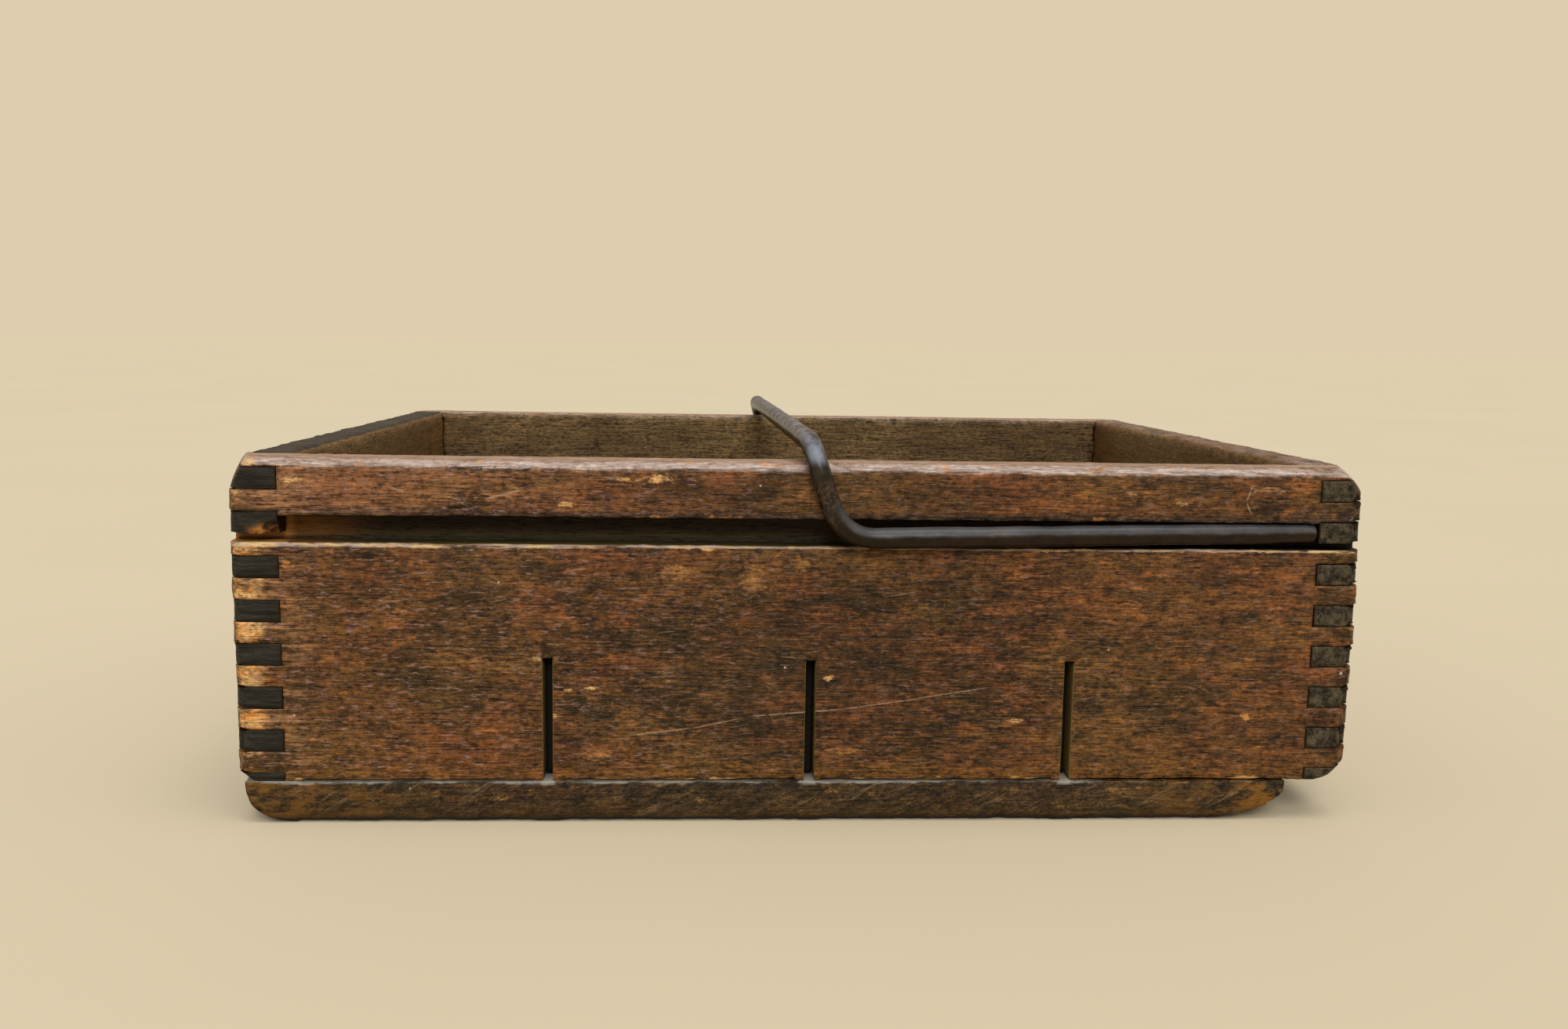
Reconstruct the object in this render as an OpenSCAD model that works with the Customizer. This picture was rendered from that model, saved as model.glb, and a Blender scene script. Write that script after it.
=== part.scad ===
// Wooden egg carrier for one dozen: finger-jointed boards, lapped divider strips,
// a nailed bottom board and a wire bail that slides along a groove in each long side.
// The origin lies on the floor under the middle of the box, +Z is up,
// +X runs along the long sides and the front side faces -Y.

/* [Box] */
// Clear length between the two end boards
inner_length = 203.2; // [170:0.1:260]
// Clear width between the two side boards
inner_width = 152.4; // [130:0.1:200]
// Thickness of the side and end boards
wall = 9.5; // [7:0.1:11]
// Height of the side and end boards
side_height = 63.5; // [56:0.1:85]
// Radius of the outer upper edge of the long sides
rim_radius = 2.4; // [1:0.1:3.5]
// Radius of the inner upper edge of all four boards
rim_inner_radius = 1.4; // [0.5:0.1:2.5]
// Radius of the upright outer corners
corner_radius = 2.2; // [0.5:0.1:3.5]
// Worn radius of the upper left end corner
top_left_radius = 1.5; // [1:0.5:5]
// Worn radius of the upper right end corner
top_right_radius = 2; // [1:0.5:5]
// Worn radius of the lower right end corner
low_right_radius = 5; // [2:0.5:7]
// Worn radius of the lower left end corner
low_left_radius = 2.5; // [1:0.5:5]

/* [Bottom board] */
// Thickness of the bottom board
bottom_thickness = 8.5; // [6:0.1:12]
// How far the bottom board stops short of the left end
left_setback = 1.5; // [0:0.5:3]
// How far the bottom board stops short of the right end
right_setback = 13; // [9:0.5:20]
// Length of the rounding under the left end
left_round_length = 11; // [4:0.5:16]
// Length of the rounding under the right end
right_round_length = 20.5; // [4:0.5:24]
// Height of the upright part of the rounded ends
end_upright = 1.5; // [0.5:0.5:3]
// Radius of the long lower edges
low_edge_radius = 1.5; // [0.5:0.1:2.5]

/* [Finger joints] */
// Height of one finger at the left corners
finger_left = 4.28; // [3.5:0.02:5]
// Height of one finger at the right corners
finger_right = 4.18; // [3.5:0.02:5]
// Depth of the first end-board finger below the top edge, at the left corners
comb_top_left = 1.9; // [1:0.1:3.5]
// Depth of the first end-board finger below the top edge, at the right corners
comb_top_right = 2.5; // [1:0.1:3.5]
// Glue line between the boards at a corner
glue_gap = 0.1; // [0.05:0.05:0.2]

/* [Dividers] */
// Spacing of the slots along the long sides
slot_pitch = 51.6; // [46:0.1:55]
// How far the middle slot stands to the right of the middle of the box
slot_shift = 0.9; // [-3:0.1:3]
// Spacing of the slots across the end boards
row_pitch = 50.8; // [40:0.1:60]
// Height of the slots above the bottom board
slot_height = 24.4; // [18:0.1:30]
// Thickness of a divider strip
strip = 1.5; // [1:0.1:2.5]
// Clearance on each side of a strip in its slot
slot_clearance = 0.2; // [0.1:0.05:0.4]
// How far a strip stops below the top of its slot
strip_drop = 0.6; // [0.2:0.1:2]
// How deep the ends of a strip reach into the boards
strip_seat = 5; // [3:0.1:6]

/* [Nails] */
// Shank diameter of a nail
nail_d = 1.6; // [1.2:0.1:2.2]
// Length of a nail
nail_length = 24; // [18:0.5:30]
// Diameter of a nail head
nail_head_d = 4; // [3:0.1:5]
// Thickness of a nail head
nail_head_height = 0.8; // [0.5:0.1:1.2]
// How deep the heads are set below the face of the board
nail_set = 0.3; // [0.1:0.1:0.8]
// Clearance round a nail
nail_clearance = 0.05; // [0.02:0.01:0.1]

/* [Bail] */
// Diameter of the wire
wire_d = 3.8; // [3:0.1:4.5]
// Distance from the top edge down to the groove
groove_drop = 11.2; // [9:0.1:14]
// Depth of the groove
groove_depth = 5; // [4.2:0.1:5.5]
// Play of the wire between the two faces of the groove
groove_play = 1.4; // [1:0.1:2.5]
// Gap between an arm's end and the corner finger that stops it
arm_gap = 0.3; // [0.2:0.1:1]
// How far the wire lies behind the face of the side at the end of an arm
arm_inset = 0.1; // [0:0.1:1]
// How much lower an arm lies at its bend than at its end
arm_drop = 1.4; // [0:0.1:1.4]
// Gap between the uprights of the bail and the faces of the sides
face_gap = 0.35; // [0.3:0.05:1]
// Where the front arm turns up, to the right of the middle of the box
bend_x = 6; // [-20:0.5:30]
// How far the back upright stands to the left of the front one
bail_skew = 5.2; // [0:0.1:6]
// Lean of the uprights to the left, in degrees
upright_lean = 17.6; // [0:0.1:25]
// Height of the crossing wire's middle above the top edge
crossing_rise = 5.5; // [3.5:0.1:40]
// Bend radius at the foot of an upright
foot_bend = 9; // [6:0.5:10]
// Bend radius at the head of an upright
head_bend = 7; // [5:0.5:9]

/* [Hidden] */
$fn = 48;
cut = 1;
outer_length = inner_length + 2 * wall;
outer_width = inner_width + 2 * wall;
half_length = outer_length / 2;
half_width = outer_width / 2;
box_top = bottom_thickness + side_height;
groove_height = wire_d + groove_play;
slot_width = strip + 2 * slot_clearance;
strip_height = slot_height - strip_drop;
slot_xs = [for (i = [-1 : 1]) slot_shift + i * slot_pitch];
slot_ys = [for (i = [-0.5, 0.5]) i * row_pitch];
nail_xs = [for (i = [-1.5 : 1.5]) slot_shift + i * slot_pitch];
nail_ys = [for (i = [-1 : 1]) i * row_pitch];
bottom_left = left_setback - half_length;
bottom_right = half_length - right_setback;
round_height = bottom_thickness - end_upright;
end_nail_x = 0.6 * wall - half_length;
end_nail_z = left_underside(end_nail_x - nail_head_d / 2);
nail_places = concat(
    [for (x = nail_xs, s = [-1, 1]) [x, s * (half_width - wall / 2), nail_set]],
    [for (y = nail_ys) [end_nail_x, y, nail_set + end_nail_z]]);
comb_tops = [box_top - comb_top_left, box_top - comb_top_right];

// Corner points of the bail, from the end of the front arm round to the end of the back arm
arm_z = box_top - groove_drop - groove_play / 2 - wire_d / 2;
arm_end = [half_length - wall - arm_gap, half_width - wire_d / 2 - arm_inset, arm_z + arm_drop / 2];
foot = [bend_x, half_width + face_gap + wire_d / 2, arm_z - arm_drop / 2];
head_z = box_top + crossing_rise;
head = [foot.x - tan(upright_lean) * (head_z - foot.z), foot.y, head_z];
front_points = [for (p = [arm_end, foot, head]) [p.x, -p.y, p.z]];
back_points = [for (p = [head, foot, arm_end]) [p.x - bail_skew, p.y, p.z]];
bail_points = concat(front_points, back_points);
bail_bends = [0, foot_bend, head_bend, head_bend, foot_bend, 0];
wire_sides = 24;
bend_steps = 8;

// Height of the underside of the bottom board at a place along its rounded left end
function left_underside(x) =
    let (u = max(0, 1 - (x - bottom_left) / left_round_length))
    round_height * (1 - sqrt(1 - u * u));
function unit(v) = v / norm(v);
// Half of the angle between the two straights that meet at corner i of a path
function half_angle(points, i) =
    acos(unit(points[i - 1] - points[i]) * unit(points[i + 1] - points[i])) / 2;
// Middle of the bend of radius r at corner i
function bend_centre(points, r, i) =
    points[i] + r / sin(half_angle(points, i))
        * unit(unit(points[i - 1] - points[i]) + unit(points[i + 1] - points[i]));
// Middle line of the wire: a point and a direction at each end and at each step round each bend
function wire_line(points, bends) = [
    [points[0], unit(points[1] - points[0])],
    for (i = [1 : len(points) - 2])
        let (
            turn = 180 - 2 * half_angle(points, i),
            centre = bend_centre(points, bends[i], i),
            ahead = unit(points[i] - points[i - 1]),
            after = unit(points[i + 1] - points[i]),
            inward = unit(after - ahead * cos(turn)))
        for (k = [0 : bend_steps])
            let (a = turn * k / bend_steps)
            [centre + bends[i] * (ahead * sin(a) - inward * cos(a)), ahead * cos(a) + inward * sin(a)],
    [points[len(points) - 1], unit(points[len(points) - 1] - points[len(points) - 2])]];
// Ring of points square to the middle line at one of its places
function wire_ring(place, d) =
    let (
        x_axis = unit(cross([1, 1, 1], place[1])),
        y_axis = cross(place[1], x_axis))
    [for (k = [0 : wire_sides - 1])
        let (a = 360 * k / wire_sides)
        place[0] + d / 2 * (x_axis * cos(a) + y_axis * sin(a))];

// Round wire along a path of straights, with a bend of its own radius at each corner
module bent_wire(points, bends, d) {
    line = wire_line(points, bends);
    last = len(line) - 1;
    polyhedron(
        points = [for (place = line) each wire_ring(place, d)],
        faces = concat(
            [[for (k = [0 : wire_sides - 1]) k]],
            [[for (k = [wire_sides - 1 : -1 : 0]) last * wire_sides + k]],
            [for (i = [0 : last - 1], k = [0 : wire_sides - 1], half = [0, 1])
                let (
                    a = i * wire_sides + k,
                    b = i * wire_sides + (k + 1) % wire_sides)
                half == 0 ? [a, a + wire_sides, b] : [b, a + wire_sides, b + wire_sides]]));
}

// Waste outside a round of radius r in the corner at the origin, for a board in the first quadrant
module corner_waste(r) {
    difference() {
        translate([-cut, -cut]) square(r + cut);
        translate([r, r]) circle(r);
    }
}

// Waste at the four worn corners seen from the front, and at the four upright corners
module outline_waste() {
    rotate([90, 0, 0])
        linear_extrude(outer_width + 2 * cut, center = true) {
            translate([-half_length, bottom_thickness]) corner_waste(low_left_radius);
            translate([half_length, bottom_thickness]) mirror([1, 0]) corner_waste(low_right_radius);
            translate([-half_length, box_top]) mirror([0, 1]) corner_waste(top_left_radius);
            translate([half_length, box_top]) rotate(180) corner_waste(top_right_radius);
        }
    for (x = [0, 1], y = [0, 1])
        mirror([x, 0, 0]) mirror([0, y, 0])
            translate([-half_length, -half_width, bottom_thickness - cut])
                linear_extrude(side_height + 2 * cut) corner_waste(corner_radius);
}

// Fingers of the left or the right end board at its front corner, grown by a gap, with roots inwards
module comb(side, gap, root) {
    finger = side < 0 ? finger_left : finger_right;
    first = comb_tops[side < 0 ? 0 : 1];
    for (k = [0 : ceil((first - bottom_thickness) / (2 * finger)) - 1]) {
        top = first - 2 * finger * k;
        low = max(top - finger, bottom_thickness);
        if (top > low)
            translate([side * (half_length - wall / 2) - wall / 2 - gap, -half_width - gap, low - gap])
                cube([wall + 2 * gap, wall + 2 * gap + root, top - low + 2 * gap]);
    }
}

// Nail holes from below, all the way along the shanks
module nail_holes() {
    for (p = nail_places)
        translate([p.x, p.y, -cut])
            cylinder(d = nail_d + 2 * nail_clearance, h = p.z + nail_length + nail_clearance + cut);
}

// Long side board at the front: rounded rim, bail groove, slots and notches for the end boards
module side_board() {
    difference() {
        rotate([90, 0, 90])
            linear_extrude(outer_length, center = true) {
                difference() {
                    translate([-half_width, bottom_thickness]) square([wall, side_height]);
                    translate([-half_width, box_top]) mirror([0, 1]) corner_waste(rim_radius);
                    translate([wall - half_width, box_top]) rotate(180) corner_waste(rim_inner_radius);
                    translate([-half_width - cut, box_top - groove_drop - groove_height])
                        square([groove_depth + cut, groove_height]);
                }
            }
        for (x = slot_xs)
            translate([x - slot_width / 2, -half_width - cut, bottom_thickness - cut])
                cube([slot_width, wall + 2 * cut, slot_height + cut]);
        for (side = [-1, 1]) comb(side, glue_gap, 0);
        outline_waste();
        nail_holes();
    }
}

// End board at the left or the right, with a comb of fingers at both corners
module end_board(side) {
    difference() {
        union() {
            rotate([90, 0, 0])
                linear_extrude(inner_width - 2 * glue_gap, center = true)
                    difference() {
                        translate([side * (half_length - wall / 2) - wall / 2, bottom_thickness])
                            square([wall, side_height]);
                        translate([side * (half_length - wall), box_top])
                            mirror([side < 0 ? 1 : 0, 0]) mirror([0, 1]) corner_waste(rim_inner_radius);
                    }
            for (y = [0, 1]) mirror([0, y, 0]) comb(side, 0, wall);
        }
        for (y = slot_ys)
            translate([side * half_length - wall - cut, y - slot_width / 2, bottom_thickness - cut])
                cube([2 * wall + 2 * cut, slot_width, slot_height + cut]);
        outline_waste();
        nail_holes();
    }
}

// Outline of the bottom board seen from the front, with its two rounded ends
module bottom_outline() {
    polygon(concat(
        [[bottom_right, bottom_thickness], [bottom_left, bottom_thickness]],
        [for (a = [0 : 10 : 90])
            [bottom_left + left_round_length * (1 - cos(a)), round_height * (1 - sin(a))]],
        [for (a = [90 : -10 : 0])
            [bottom_right - right_round_length * (1 - cos(a)), round_height * (1 - sin(a))]]));
}

// Thin strip along X with its ends seated in the end boards, lapped from below over the cross strips
module long_strip(y) {
    length = inner_length + 2 * strip_seat;
    difference() {
        translate([-length / 2, y - strip / 2, bottom_thickness]) cube([length, strip, strip_height]);
        for (x = slot_xs)
            translate([x - slot_width / 2, y - strip, bottom_thickness - cut])
                cube([slot_width, 2 * strip, strip_height / 2 + slot_clearance + cut]);
    }
}

// Thin strip along Y with its ends seated in the long sides, lapped from above under the long strips
module cross_strip(x) {
    length = inner_width + 2 * strip_seat;
    difference() {
        translate([x - strip / 2, -length / 2, bottom_thickness]) cube([strip, length, strip_height]);
        for (y = slot_ys)
            translate([x - strip, y - slot_width / 2, bottom_thickness + strip_height / 2])
                cube([2 * strip, slot_width, strip_height / 2 + cut]);
    }
}

module front_side() {
    color("saddlebrown") side_board();
}

module back_side() {
    color("saddlebrown") mirror([0, 1, 0]) side_board();
}

module left_end() {
    color("#3a2a1d") end_board(-1);
}

module right_end() {
    color("#3a2a1d") end_board(1);
}

module bottom_board() {
    color("#4a3320")
        difference() {
            rotate([90, 0, 0]) linear_extrude(outer_width, center = true) bottom_outline();
            for (y = [0, 1])
                mirror([0, y, 0])
                    translate([0, -half_width, 0])
                        rotate([90, 0, 90])
                            linear_extrude(2 * outer_length, center = true) corner_waste(low_edge_radius);
            nail_holes();
            for (p = nail_places)
                translate([p.x, p.y, -cut])
                    cylinder(
                        d = nail_head_d + 2 * nail_clearance,
                        h = cut + p.z + nail_head_height + nail_clearance);
        }
}

module cross_divider_left() {
    color("#8a6a44") cross_strip(slot_xs[0]);
}

module cross_divider_centre() {
    color("#8a6a44") cross_strip(slot_xs[1]);
}

module cross_divider_right() {
    color("#8a6a44") cross_strip(slot_xs[2]);
}

module long_divider_front() {
    color("#8a6a44") long_strip(slot_ys[0]);
}

module long_divider_back() {
    color("#8a6a44") long_strip(slot_ys[1]);
}

module bottom_nails() {
    color("#55504a")
        for (p = nail_places)
            translate(p) {
                cylinder(d = nail_head_d, h = nail_head_height);
                cylinder(d = nail_d, h = nail_length);
            }
}

module bail() {
    color("#2b2b2d") bent_wire(bail_points, bail_bends, wire_d);
}

front_side();
back_side();
left_end();
right_end();
bottom_board();
cross_divider_left();
cross_divider_centre();
cross_divider_right();
long_divider_front();
long_divider_back();
bottom_nails();
bail();
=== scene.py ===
import math

import bpy
import numpy as np
from mathutils import Matrix, Vector


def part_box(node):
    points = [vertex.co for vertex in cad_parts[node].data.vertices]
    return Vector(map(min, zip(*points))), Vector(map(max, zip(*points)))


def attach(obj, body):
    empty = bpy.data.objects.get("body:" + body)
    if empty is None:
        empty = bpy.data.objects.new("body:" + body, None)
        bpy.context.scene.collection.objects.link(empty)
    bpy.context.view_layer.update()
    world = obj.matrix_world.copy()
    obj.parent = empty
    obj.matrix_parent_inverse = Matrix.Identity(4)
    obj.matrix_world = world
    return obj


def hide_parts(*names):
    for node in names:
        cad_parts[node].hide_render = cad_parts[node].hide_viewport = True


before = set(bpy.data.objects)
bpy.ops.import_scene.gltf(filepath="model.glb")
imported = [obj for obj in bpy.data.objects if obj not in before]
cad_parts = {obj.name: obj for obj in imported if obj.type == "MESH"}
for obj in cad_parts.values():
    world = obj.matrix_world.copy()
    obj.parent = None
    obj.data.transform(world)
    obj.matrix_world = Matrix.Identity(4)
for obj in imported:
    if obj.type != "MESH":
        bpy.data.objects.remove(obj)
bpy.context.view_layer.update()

# Places on the box in millimetres. The front board's box gives most of them.
MM = 1000.0
front_low, front_high = (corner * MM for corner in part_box("front_side"))
strip_boxes = [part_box("cross_divider_" + name) for name in ("left", "centre", "right")]
FACE = -front_low.y
INNER_FACE = -front_high.y
TOP = front_high.z
SEAT = front_low.z
END = front_high.x
INNER_END = END - (FACE - INNER_FACE)
SLOT_XS = [(low.x + high.x) / 2 * MM for low, high in strip_boxes]
SLOT_TOP = 32.9
GROOVE_LOW = 55.6
GROOVE_HIGH = 60.8

# The camera, in millimetres and degrees, fitted to the corners of the box
CAMERA_PLACE = (-19.1, -346.0, 95.3)
CAMERA_YAW = 3.12
CAMERA_PITCH = 7.31
CAMERA_ROLL = 0.92
FOCAL_PIXELS = 1727.0
IMAGE_WIDTH = 2000.0
SENSOR = 36.0

# How much the worn wood and the wire shine
SPECULAR = 0.16
WIRE_SPECULAR = 0.22

# Height of the finishes' relief in millimetres
RELIEF = 0.3
FINE_RELIEF = 0.2
WIRE_RELIEF = 0.05


def tone(red, green, blue):
    """A colour given in screen values from 0 to 255, as the linear colour that a shader takes."""
    parts = [value / 255 for value in (red, green, blue)]
    linear = [part / 12.92 if part < 0.04 else ((part + 0.055) / 1.055) ** 2.4 for part in parts]
    return (*linear, 1.0)


# Sockets with arithmetic, and the textures that the finishes share

class Shade:
    """A socket of a material's node tree. Arithmetic on it adds Math nodes."""

    def __init__(self, tree, socket=None):
        self.tree = tree
        self.socket = socket

    def add(self, kind, inputs=None, out=0, **settings):
        """Adds a node, with its settings first and then the values or links of its sockets."""
        node = self.tree.nodes.new(kind)
        for name, value in settings.items():
            setattr(node, name, value)
        for key, value in (inputs or {}).items():
            if isinstance(value, Shade):
                self.tree.links.new(value.socket, node.inputs[key])
            else:
                node.inputs[key].default_value = value
        return Shade(self.tree, node.outputs[out] if node.outputs else None)

    def math(self, operation, first, second):
        """A Math node on two values or sockets."""
        return self.add("ShaderNodeMath", {0: first, 1: second}, operation=operation)

    def __add__(self, other):
        return self.math("ADD", self, other)

    def __sub__(self, other):
        return self.math("SUBTRACT", self, other)

    def __rsub__(self, other):
        return self.math("SUBTRACT", other, self)

    def __mul__(self, other):
        return self.math("MULTIPLY", self, other)

    def __abs__(self):
        return self.math("ABSOLUTE", self, 0.0)

    def most(self, other):
        """The greater of two values."""
        return self.math("MAXIMUM", self, other)

    def step(self, low, high):
        """0 at low and 1 at high, with a soft slope between. High may be the smaller of the two."""
        ends = {"Value": self, "From Min": low, "From Max": high}
        return self.add("ShaderNodeMapRange", ends, interpolation_type="SMOOTHSTEP")

    def mix(self, first, second):
        """The first colour where this mask is 0 and the second where it is 1."""
        return self.add("ShaderNodeMix", {0: self, 6: first, 7: second}, out=2, data_type="RGBA")

    def darken(self, shade):
        """This colour times a grey."""
        sockets = {0: 1.0, 6: self, 7: shade}
        return self.add("ShaderNodeMix", sockets, out=2, data_type="RGBA", blend_type="MULTIPLY")


class Finish(Shade):
    """One material: its coordinates in millimetres, its textures and its shader."""

    def __init__(self, name):
        self.material = bpy.data.materials.new(name)
        self.material.use_nodes = True
        self.material.node_tree.nodes.clear()
        super().__init__(self.material.node_tree)
        metres = self.add("ShaderNodeTexCoord", out="Object")
        facing = self.add("ShaderNodeTexCoord", out="Normal")
        self.place = self.add("ShaderNodeVectorMath", {0: metres, "Scale": MM}, operation="SCALE")
        self.x, self.y, self.z = self.axes(self.place)
        self.nx, self.ny, self.nz = self.axes(facing)
        self.wear = self.add("ShaderNodeAttribute", out=2, attribute_name="wear")
        self.cavity = self.add("ShaderNodeAttribute", out=2, attribute_name="cavity")

    def axes(self, vector):
        """The parts of a vector along x, y and z."""
        return [self.add("ShaderNodeSeparateXYZ", {0: vector}, out=axis) for axis in range(3)]

    def stretch(self, factors, shift):
        """The coordinates times a factor along each axis, moved on to another part of a pattern."""
        sockets = {0: self.place, 1: factors, 2: (shift, shift, shift)}
        return self.add("ShaderNodeVectorMath", sockets, operation="MULTIPLY_ADD")

    def noise(self, factors, shift, detail=4.0, rough=0.6, twist=0.0):
        """Soft noise. The factors are how many of its blotches go to a millimetre along each axis."""
        sockets = {
            "Vector": self.stretch(factors, shift), "Scale": 1.0, "Detail": detail,
            "Roughness": rough, "Distortion": twist,
        }
        return self.add("ShaderNodeTexNoise", sockets)

    def specks(self, spacing, radius, share, shift):
        """Small round specks, one to a cell of that spacing, of which only a share show."""
        sockets = {"Vector": self.stretch((1 / spacing,) * 3, shift), "Scale": 1.0}
        distance = self.add("ShaderNodeTexVoronoi", sockets)
        cell_colour = self.add("ShaderNodeTexVoronoi", sockets, out=1)
        chance = self.add("ShaderNodeSeparateColor", {0: cell_colour})
        size = radius / spacing
        return distance.step(size, size * 0.5) * chance.step(share + 0.01, share)

    def slanted(self, degrees, length, width, shift, detail=4.0, rough=0.65):
        """Streaks of that length and width in millimetres, rising at that angle on upright faces."""
        turn = math.radians(degrees)
        level = self.x + self.y
        along = level * math.cos(turn) + self.z * math.sin(turn)
        across = self.z * math.cos(turn) - level * math.sin(turn)
        turned = {0: along * (1 / length) + shift, 1: shift, 2: across * (1 / width)}
        place = self.add("ShaderNodeCombineXYZ", turned)
        sockets = {"Vector": place, "Scale": 1.0, "Detail": detail, "Roughness": rough}
        return self.add("ShaderNodeTexNoise", sockets)

    def mark(self, x, z, half_length, half_height, edge):
        """A patch of that size round a place on the front or back face, with a ragged edge."""
        factors = (1 / half_length, 0.0, 1 / half_height)
        scaled = self.add("ShaderNodeVectorMath", {0: self.place, 1: factors}, operation="MULTIPLY")
        centre = (x / half_length, 0.0, z / half_height)
        distance = self.add("ShaderNodeVectorMath", {0: scaled, 1: centre}, out=1, operation="DISTANCE")
        return (distance + edge).step(1.3, 0.6)

    def scratch(self, first, second, width):
        """A thin line between two places on the front face, each given as x and z."""
        (x0, z0), (x1, z1) = first, second
        length = math.hypot(x1 - x0, z1 - z0)
        across_x, across_z = (z0 - z1) / length, (x1 - x0) / length
        along = self.x * across_z - self.z * across_x
        across = self.x * across_x + self.z * across_z
        start = x0 * across_z - z0 * across_x
        inside = along.step(start, start + length * 0.2) * along.step(start + length, start + length * 0.8)
        return abs(across - (x0 * across_x + z0 * across_z)).step(width, width * 0.3) * inside

    def close(self, colour, roughness, height, depth, metallic=0.0, specular=SPECULAR):
        """Joins colour, roughness and relief to the shader. Depth is the relief's height in millimetres."""
        bump = self.add("ShaderNodeBump", {"Height": height, "Distance": depth / MM, "Strength": 1.0})
        sockets = {
            "Base Color": colour, "Roughness": roughness, "Metallic": metallic, "Normal": bump,
            "Specular IOR Level": specular,
        }
        shader = self.add("ShaderNodeBsdfPrincipled", sockets)
        self.add("ShaderNodeOutputMaterial", {"Surface": shader})
        return self.material


class Wood(Finish):
    """Old wood with its grain along one axis."""

    def __init__(self, name, grain):
        super().__init__(name)
        self.axis = "xyz".index(grain)
        self.fine = self.fibres(2.8, 20, 3.0, 3.0, 0.7)
        self.lines = self.fibres(0.8, 16, 11.0, 5.0, 0.7)
        self.speckle = self.fibres(1.3, 1.6, 17.0, 3.0, 0.7)
        self.pores = self.fibres(3.4, 10, 7.0, 1.0, 0.5).step(0.6, 0.72)
        self.patch = self.fibres(0.045, 1.6, 21.0, 3.0, 0.6, 0.5)
        self.mottle = self.fibres(0.3, 2.4, 31.0, 6.0, 0.75, 0.3)
        self.grime = self.fibres(0.12, 1.8, 47.0, 7.0, 0.75, 0.4)
        self.flecks = self.fibres(0.6, 3.0, 53.0, 4.0, 0.65, 0.2)
        self.crumbs = self.fibres(0.9, 1.8, 71.0, 4.0, 0.7)
        self.ragged = self.fibres(0.35, 3.0, 83.0, 5.0, 0.75)
        self.chips = self.fibres(1.6, 2.0, 97.0, 3.0, 0.7)
        self.dry_and_sheen = self.fibres(1.9, 5.0, 113.0, 4.0, 0.75)

    def fibres(self, count, length, shift, detail, rough, twist=0.0):
        """Noise with so many blotches to a millimetre across the grain, each so many times as long."""
        factors = [count / length if axis == self.axis else count for axis in range(3)]
        return self.noise(factors, shift, detail, rough, twist)

    def streaked(self, colour):
        """A colour with the light and dark of its fibres and pores in it."""
        shade = self.fine * 3.2 + self.lines * 1.1 + self.speckle * 3.2 + self.crumbs * 1.6 - 3.6
        colour = colour.darken(shade.most(0.2))
        return (self.pores * 0.4).mix(colour, GRIME)

    def stain(self, dark, ochre, red, bright):
        """The colour of a stained and handled face."""
        colour = self.patch.step(0.35, 0.65).mix(ochre, red)
        colour = (self.mottle.step(0.42, 0.62) * 0.75).mix(colour, dark)
        colour = (self.flecks.step(0.56, 0.66) * self.grime.step(0.6, 0.42) * 0.7).mix(colour, bright)
        colour = (self.grime.step(0.46, 0.66) * 0.6).mix(colour, GRIME)
        return (self.crumbs.step(0.55, 0.66) * 0.65).mix(colour, GRIME)

    def hairlines(self):
        """Fine scratches in several directions."""
        level = self.slanted(9.0, 9.0, 0.5, 3.0, 2.0).step(0.64, 0.72)
        steep = self.slanted(-28.0, 7.0, 0.45, 7.0, 2.0).step(0.66, 0.74)
        upright = self.slanted(71.0, 4.0, 0.4, 11.0, 2.0).step(0.67, 0.75)
        return level.most(steep).most(upright)

    def inside(self):
        """The bare inner face, dusty olive brown with long darker streaks."""
        colour = self.patch.step(0.3, 0.7).mix(INSIDE_WOOD, INSIDE_DARK)
        colour = (self.flecks.step(0.48, 0.7) * 0.4).mix(colour, INSIDE_DARK)
        low = (self.z + (self.ragged - 0.5) * 20.0).step(SEAT + 16.0, SEAT)
        return self.streaked((low * 0.5).mix(colour, GRIME))

    def rubbed(self, low, high):
        """Where the edges are rubbed through: more of them with lower limits, and broken along the grain."""
        worn = self.wear.step(0.2, 0.9) * 0.5 + (self.ragged - 0.5) * 1.2 + (self.grime - 0.5)
        return worn.step(low, high)

    def relief(self):
        """The height of the fibres, with the pores cut into them."""
        return self.fine * 0.6 + self.lines * 0.5 + self.mottle * 0.4 - self.pores * 0.5


# Finishes

# Colours of the sides and ends
GRIME = tone(36, 28, 11)
# Soot and near-black end grain; also painted shade in hollows, slots, strip seats and along the foot of the
# boards
SOOT_AND_SHADE = tone(25, 21, 13)
# Dry fibre and dust with painted sheen
DRY_FIBRE_AND_SHEEN = tone(162, 126, 114)
STAIN_DARK = tone(52, 38, 18)
STAIN_OCHRE = tone(108, 74, 33)
STAIN_RED = tone(116, 68, 32)
STAIN_BRIGHT = tone(150, 92, 46)
OLD_SLOT = tone(124, 104, 60)
# Painted shadow in the groove, and on the finger sides that face into it
GROOVE_SHADOW = tone(32, 18, 3)
GROOVE_OLIVE = tone(60, 50, 18)
GROOVE_BROWN = tone(112, 70, 22)
# Black stain with a painted bluish reflection of the sky
TOP_BLACK_AND_REFLECTION = tone(22, 25, 32)
RUBBED_BROWN = tone(152, 110, 74)
RAIL_BROWN = tone(148, 98, 64)
RAIL_SHADE = tone(60, 50, 44)
SCUFF = tone(168, 140, 112)
RAW_ORANGE = tone(196, 132, 64)
RAW_TAN = tone(214, 166, 106)
MUSTARD = tone(150, 116, 48)
# Pale worn wood of the rims with painted sheen, and a painted grey reflection of the sky
RIM_WEAR_AND_SHEEN = tone(192, 173, 162)
RIM_DULL_AND_SHEEN = tone(174, 151, 137)
RIM_BROWN = tone(154, 118, 92)
RIM_GREY_REFLECTION = tone(150, 136, 130)
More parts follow.
